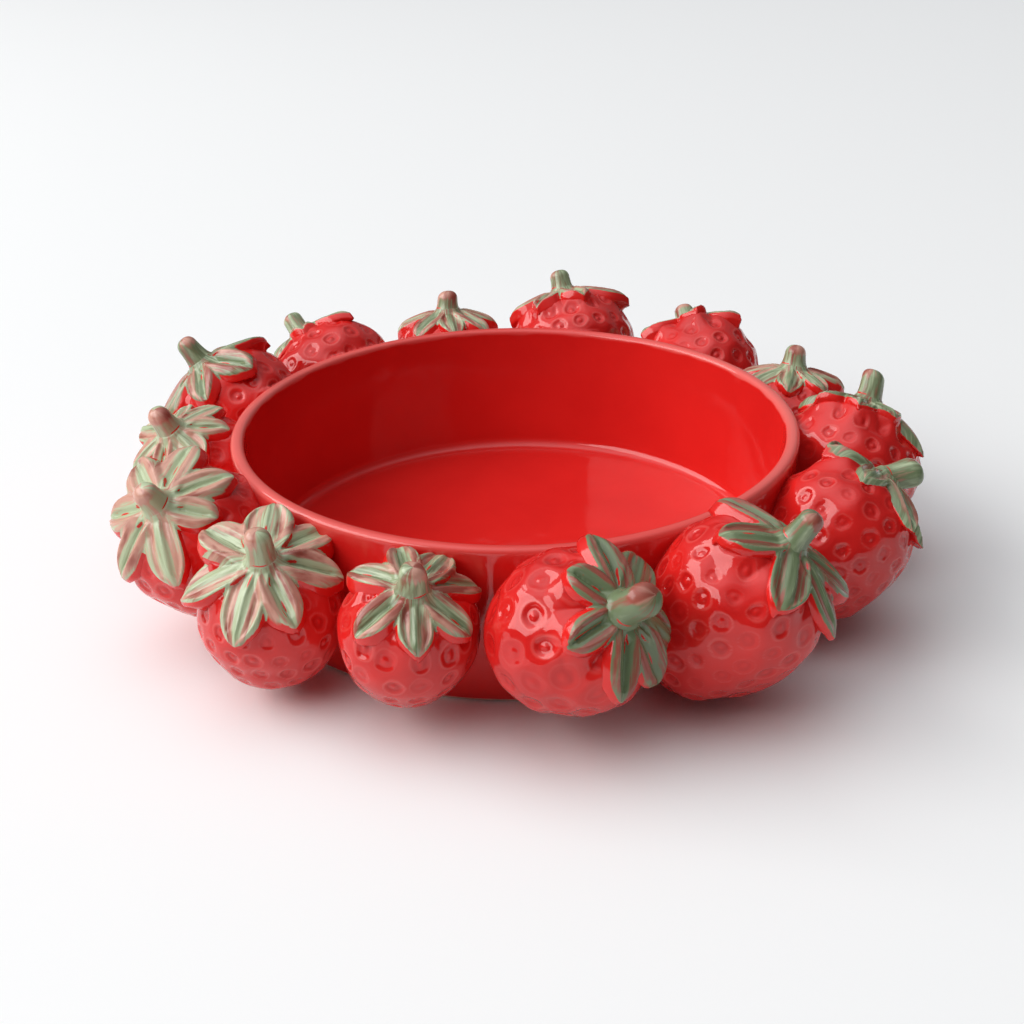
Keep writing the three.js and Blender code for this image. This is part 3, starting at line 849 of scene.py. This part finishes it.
def makeBerry(number, b):
    # the plain berry moved out along its normals by pits and lumps, up its axis under the leaves
    s = berrySpec
    random = np.random.default_rng(s["randomSeed"] + number)
    rows, cols = s["rows"], s["cols"]
    t = np.repeat((np.arange(rows) + 0.5) / rows * np.pi, cols)
    turn = np.tile(np.arange(cols) / cols * 2 * np.pi, rows)
    t = np.concatenate([t, [0, np.pi]])
    turn = np.concatenate([turn, [0, 0]])
    point, normal = berrySurface(b, t, turn)
    depth, pool = pitRelief(b, point, random)
    depth = depth + berryLumps(t, turn, point, random)
    middle, axis, across, over = seatOf(b)
    offset = point - middle
    # clay and slip fill the angle under the leaf edges and against the wall
    skirt = leafSkirt(b, leafForms(number, b), offset @ across, offset @ over)
    skirt = skirt * smoothStep(*s["skirtFade"], offset @ axis)
    full, less = s["filled"]
    bare = np.clip(full - less * skirt, 0, 1)
    fromWall = np.hypot(point[:, 0], point[:, 1]) - wallRadius(point[:, 2])
    web = np.clip(1 - np.maximum(fromWall, 0) / s["webReach"], 0, 1) ** 2
    web = web * (point[:, 2] < bowlSpec["height"] - s["webBelow"])
    depth = depth * bare * (1 - web) + s["web"] * web
    point = point + normal * depth[:, None] + axis * skirt[:, None]
    # the back is flattened inside the wall
    flat = np.hypot(point[:, 0], point[:, 1])
    keep = wallRadius(point[:, 2]) - s["inWall"]
    low = point[:, 2] < bowlSpec["height"] + s["overRim"]
    point[:, :2] *= np.where(low, np.maximum(keep / flat, 1), 1)[:, None]
    mesh = meshFrom("berry", point, gridQuads(rows, cols), poleFans(rows, cols))
    setAttribute(mesh, "pool", pool * bare)
    addPiece("berry%02d" % number, mesh, berryGlaze, "berry_%02d" % number)


for number, row in enumerate(berryRows, 1):
    makeBerry(number, row)
print("berries made")


# leaf crowns

# across a leaf v runs from -1 to 1, along it u from 0 to 1,
# and rollEdge and nodTip are where a form starts and how far it takes
foldSpec = {
    "span": 0.9, "rib": 0.8, "foot": 0.28, "tip": 0.78, "tipLoss": 0.7, "crease": 0.8, "creaseWidth": 0.08,
    "vein": 0.24, "veins": 2.6, "veinSlant": 1.2, "cup": 0.3, "settle": 1.2,
    "roll": 2.5, "rollFoot": (0.1, 0.4), "rollEdge": (0.76, 0.24), "nod": 1.6, "nodTip": (0.86, 0.14),
}


def leafWave(form, v):
    # one wave across each half: two plump lobes with a valley between,
    # or a middle rib with a trough either side
    wave = np.cos(2 * np.pi * foldSpec["span"] * np.abs(v))
    return foldSpec["rib"] * wave if form["ribbed"] else -wave


def leafFold(form, u, v):
    # the cross section: the wave, a crease down the valley, fine veins and a shallow cup,
    # fading at foot and tip
    f = foldSpec
    near = smoothStep(0.0, f["foot"], u) * (1 - f["tipLoss"] * smoothStep(f["tip"], 1, u))
    crease = -f["crease"] * np.exp(-((v / f["creaseWidth"]) ** 2)) * (not form["ribbed"])
    vein = f["vein"] * np.cos(2 * np.pi * (f["veins"] * v + form["tone"]) + f["veinSlant"] * u)
    return near * (form["fold"] * leafWave(form, v) + crease + vein + form["cup"] * (v * v - f["cup"]))


def leafTop(b, form, u, v, wide):
    # a leaf's top above the berry's middle: its drooping line, but never closer to the berry than its edge,
    # with the fold, a twist, rolled edges and a nodding tip
    f = foldSpec
    along = leafShape["root"] + (form["reach"] - leafShape["root"]) * u
    rest = crownHeight(b, np.hypot(along, wide * v)) + leafShape["edge"]
    edge, edgeWidth = f["rollEdge"]
    tip, tipLength = f["nodTip"]
    roll = -f["roll"] * smoothStep(*f["rollFoot"], u)
    roll = roll * np.clip((np.abs(v) - edge) / edgeWidth, 0, 1) ** 2
    nod = -f["nod"] * np.clip((u - tip) / tipLength, 0, 1) ** 2
    seated = softMax(leafLine(b, form, u), rest, f["settle"])
    return seated + leafFold(form, u, v) + form["twist"] * v * u + roll + nod


crownSpec = {
    "along": 34, "crowding": 1.6, "top": 41, "sideIn": 0.95, "sideLift": 0.5, "soleEdge": 0.8, "sole": 5,
    "thick": 2.3, "thin": (0.6, 1), "thinBy": 0.6, "least": 0.6,
    "soleAlong": 0.86, "soleWide": 0.84, "soleIn": 0.8,
    "voxel": 0.44, "ease": 3, "steps": (0.55, -0.5),
}


def leafShell(b, form):
    # a closed leaf: its top, sides that lean in towards the berry and a hidden sole inside the berry
    c = crownSpec
    u = 1 - (1 - np.linspace(0, 1, c["along"])[:, None]) ** c["crowding"]
    topV = np.sin(np.linspace(-np.pi / 2, np.pi / 2, c["top"]))
    sole = np.linspace(c["soleEdge"], -c["soleEdge"], c["sole"])
    flat = np.zeros(len(sole))
    v = np.concatenate([topV, [1, c["sideIn"]], sole, [-c["sideIn"], -1]])[None]
    lift = np.concatenate([np.ones(len(topV)), [1, c["sideLift"]], flat, [c["sideLift"], 1]])[None]
    under = np.concatenate([np.zeros(len(topV)), [1, 1], flat, [1, 1]])[None]
    under = under * c["thick"] * (1 - c["thinBy"] * smoothStep(*c["thin"], u))
    wide = np.maximum(leafWidth(u, form), c["least"])
    along = leafShape["root"] + (form["reach"] - leafShape["root"]) * u
    sideways = wide * v + form["bend"] * u * u
    top = leafTop(b, form, u, v, wide)
    soleAlong = np.minimum(along * c["soleAlong"], c["soleWide"] * b["wide"])
    soleHeight = crownHeight(b, np.hypot(soleAlong, sideways * c["soleIn"])) - leafShape["seat"]
    height = np.maximum(soleHeight + (top - soleHeight) * lift - under * lift, soleHeight)
    along = soleAlong + (along - soleAlong) * lift
    middle, axis, across, over = seatOf(b)
    cosine, sine = math.cos(form["turn"]), math.sin(form["turn"])
    ahead, left = cosine * across + sine * over, cosine * over - sine * across
    grid = middle + height[..., None] * axis + along[..., None] * ahead + sideways[..., None] * left
    return closedGrid(grid, [grid[0].mean(0), grid[-1].mean(0)])


hubSpec = {
    "radius": (7.8, 8.6, 7.9, 7.0, 6.2, 5.6, 5.2, 3.0),
    "rise": (-9.0, -2.8, -1.7, -0.8, 0.0, 0.8, 1.5, 1.7),
    "around": 44, "collar": 1.5,
}


def hubShell(b):
    # the low cone in the middle of the leaves that carries the stem: a ring for each radius and rise
    middle, axis, across, over = seatOf(b)
    radius = np.array(hubSpec["radius"])[:, None]
    height = (np.array(hubSpec["rise"]) + b["crown"] + leafShape["hub"])[:, None]
    turn = np.arange(hubSpec["around"])[None] / hubSpec["around"] * 2 * np.pi
    side = np.cos(turn)[..., None] * across + np.sin(turn)[..., None] * over
    # a collar round a tilted stem leans with it
    tiltTurn, tilt = np.radians(b.get("tilt", (0, 0)))
    lean = (np.cos(tiltTurn) * across + np.sin(tiltTurn) * over) * np.tan(tilt)
    shift = np.maximum(np.array(hubSpec["rise"]) + hubSpec["collar"], 0)[:, None, None] * lean
    grid = middle + height[..., None] * axis + radius[..., None] * side + shift
    poles = middle + np.array([height[0, 0], height[-1, 0]])[:, None] * axis + shift[[0, -1], 0]
    return closedGrid(grid, poles)


def joinShells(shells):
    # one list of points and faces from several closed shells, all facing outwards
    points, quads, tris, base = [], [], [], 0
    for p, q, t in shells:
        if signedVolume(p, q, t) < 0:
            q, t = q[:, ::-1], t[:, ::-1]
        points.append(p)
        quads.append(q + base)
        tris.append(t + base)
        base += len(p)
    return np.concatenate(points), np.concatenate(quads), np.concatenate(tris)


def fuse(name, shells):
    # overlapping shells become one skin, then each point moves part way to the mean of its neighbours
    mesh = meshFrom(name, *joinShells(shells))
    blank = addObject(name, mesh)
    skin = blank.modifiers.new("skin", "REMESH")
    skin.mode = "VOXEL"
    skin.voxel_size = crownSpec["voxel"] * mm
    view = bpy.context.evaluated_depsgraph_get()
    fused = bpy.data.meshes.new_from_object(blank.evaluated_get(view))
    bpy.data.objects.remove(blank)
    bpy.data.meshes.remove(mesh)
    points, _ = pointsOf(fused)
    edges = np.empty(len(fused.edges) * 2, np.int32)
    fused.edges.foreach_get("vertices", edges)
    edges = edges.reshape(-1, 2)
    degree = np.bincount(edges.ravel(), minlength=len(points))[:, None]
    for step in crownSpec["steps"] * crownSpec["ease"]:
        total = np.zeros_like(points)
        np.add.at(total, edges[:, 0], points[edges[:, 1]])
        np.add.at(total, edges[:, 1], points[edges[:, 0]])
        points += step * (total / degree - points)
    fused.vertices.foreach_set("co", (points * mm).astype(np.float32).ravel())
    fused.polygons.foreach_set("use_smooth", np.ones(len(fused.polygons), bool))
    fused.update()
    return fused


paintSpec = {
    "behind": -0.1, "behindCost": 50, "pastCost": 20, "edge": (0.42, 0.72),
    "crackWidth": 0.06, "crackLength": 0.13, "crackBare": 0.95,
    "rub": 0.05, "rubFold": 0.45, "rubFoot": 0.3, "patch": 5,
}


def setGreen(mesh, b, paint, rub, place):
    # what the brushed green reads: its cover, wear and painted shade, and the place on the leaf or stem
    setAttribute(mesh, "paint", paint)
    setAttribute(mesh, "rub", rub)
    setAttribute(mesh, "paintedShade", np.full(len(paint), float(b.get("paintedShade", 0))))
    setAttribute(mesh, "leafPlace", place)


def paintCrown(b, forms, mesh):
    # where each point lies on its leaf, how far it faces up, and how far the fold lifts it to be rubbed
    p = paintSpec
    points, normals = pointsOf(mesh)
    middle, axis, across, over = seatOf(b)
    offset = points - middle
    x, y = offset @ across, offset @ over
    best = np.full(len(points), np.inf)
    place = np.zeros((len(points), 3))
    paint = np.zeros(len(points))
    rub = np.zeros(len(points))
    low, high = np.array(p["edge"]) - b.get("green", 0)
    for form in forms:
        u, sideways, half = onLeaf(form, x, y)
        v = sideways / half
        behind = np.where(u < p["behind"], p["behindCost"], 0)
        score = np.abs(v) + behind + np.maximum(u - 1, 0) * p["pastCost"]
        mine = score < best
        best = np.where(mine, score, best)
        slope = leafShape["droop"] * form["drop"] / form["reach"] * np.sqrt(np.clip(u, 0, 1))
        ahead = math.cos(form["turn"]) * across + math.sin(form["turn"]) * over
        up = axis + slope[:, None] * ahead
        up /= np.linalg.norm(up, axis=1, keepdims=True)
        # the green has parted along a short crack in some middle creases
        crack = np.exp(-((v / p["crackWidth"]) ** 2) - ((u - form["crack"]) / p["crackLength"]) ** 2)
        covered = 1 - p["crackBare"] * form["open"] * crack
        paint = np.where(mine, smoothStep(low, high, (normals * up).sum(1)) * covered, paint)
        wave = leafWave(form, np.clip(v, -1, 1)) * smoothStep(0, p["rubFoot"], u)
        rub = np.where(mine, p["rub"] + (-p["rubFold"] if form["ribbed"] else p["rubFold"]) * wave, rub)
        tone = np.full(len(v), form["tone"])
        spot = np.stack([sideways / p["patch"], u * form["reach"] / p["patch"], tone], -1)
        place = np.where(mine[:, None], spot, place)
    setGreen(mesh, b, paint, rub, place)


def makeCrown(number, b):
    forms = leafForms(number, b)
    shells = [leafShell(b, form) for form in forms] + [hubShell(b)]
    mesh = fuse("leafCrown", shells)
    paintCrown(b, forms, mesh)
    addPiece("leafCrown%02d" % number, mesh, leafGlaze, "calyx_%02d" % number)
    return len(mesh.polygons)


crownFaces = [makeCrown(number, row) for number, row in enumerate(berryRows, 1)]
print("leaf crowns made, faces in each:", crownFaces)


# stems

stemSpec = {
    "foot": 4.8, "tip": 4.2, "dome": 3.5, "blunt": 0.8, "sink": 2.5,
    "flare": 1.0, "flareFrom": 0.5, "flareLength": 1.3, "rows": 48, "cols": 48, "domeRows": 18,
    "oval": 0.04, "ovalTwist": 0.2, "ribs": 0.02, "bow": 0.012,
    "wornFrom": 0.6, "worn": 0.55, "wornSide": 0.75,
    "crackUp": 1.9, "crackWidth": 0.35, "crackEnds": (0.1, 0.8), "crackBare": 0.85,
    "wrap": (0.7, 0.1), "patch": 5, "apart": 3, "randomSeed": 110,
}


def makeStem(number, b):
    # a tapered rod with a domed end and a foot that flares into the hub, slightly bent and uneven
    s = stemSpec
    random = np.random.default_rng(s["randomSeed"] + number)
    middle, axis, across, over = seatOf(b)
    tiltTurn, tilt = np.radians(b.get("tilt", (0, 0)))
    lean = np.cos(tiltTurn) * across + np.sin(tiltTurn) * over
    ahead = np.cos(tilt) * axis + np.sin(tilt) * lean
    right = unit(np.cross(ahead, over))
    left = np.cross(ahead, right)
    foot, tip = s["foot"] * b.get("stemFoot", 1), s["tip"] * b.get("stemTip", 1)
    length = b["stem"] + s["sink"]
    rows, cols = s["rows"], s["cols"]
    domeHeight = s["dome"] * b.get("stemTip", 1)
    straight = length - domeHeight
    shaft = np.linspace(0, straight, rows - s["domeRows"])
    dome = np.linspace(0, np.pi / 2, s["domeRows"] + 2)[1:-1]
    flare = s["flare"] * np.exp(-np.maximum(shaft - s["sink"] - s["flareFrom"], 0) / s["flareLength"])
    taper = foot + (tip - foot) * shaft / straight + flare
    radius = np.concatenate([taper, tip * np.cos(dome) ** s["blunt"]])[:, None]
    height = np.concatenate([shaft, straight + domeHeight * np.sin(dome)])[:, None]
    turn = np.arange(cols)[None] / cols * 2 * np.pi
    waves = random.uniform(0, 2 * np.pi, 4)
    oval = s["oval"] * np.sin(2 * turn + waves[0] + s["ovalTwist"] * height)
    uneven = 1 + oval + s["ribs"] * np.sin(5 * turn + waves[1])
    bow = s["bow"] * random.uniform(-1, 1) * np.maximum(height - s["sink"], 0) ** 2
    base = middle + axis * (b["crown"] + leafShape["hub"] - s["sink"])
    ring = np.cos(turn)[..., None] * right + np.sin(turn)[..., None] * left
    grid = base + height[..., None] * ahead + (radius * uneven)[..., None] * ring + bow[..., None] * right
    mesh = meshFrom("stem", *closedGrid(grid, [base, base + ahead * length + bow[-1] * right]))
    tall = np.concatenate([np.repeat(height[:, 0], cols), [0, length]])
    around = np.concatenate([np.tile(turn[0], rows), [0, 0]])
    # the green is rubbed off one side of the tip, and fine cracks show red round part of the foot
    side = s["worn"] + s["wornSide"] * np.cos(around - waves[2])
    worn = smoothStep(s["wornFrom"], 1, tall / length) * side
    crack = np.exp(-(((tall - s["sink"] - s["crackUp"]) / s["crackWidth"]) ** 2))
    crack = crack * smoothStep(*s["crackEnds"], np.sin(2 * around + waves[3]))
    wide, deep = s["wrap"]
    place = [np.cos(around) * wide, tall / s["patch"], np.sin(around) * deep + s["apart"] * number]
    setGreen(mesh, b, 1 - s["crackBare"] * crack, worn, np.stack(place, -1))
    addPiece("stem%02d" % number, mesh, stemGlaze, "stem_%02d" % number)


for number, row in enumerate(berryRows, 1):
    makeStem(number, row)
print("stems made")
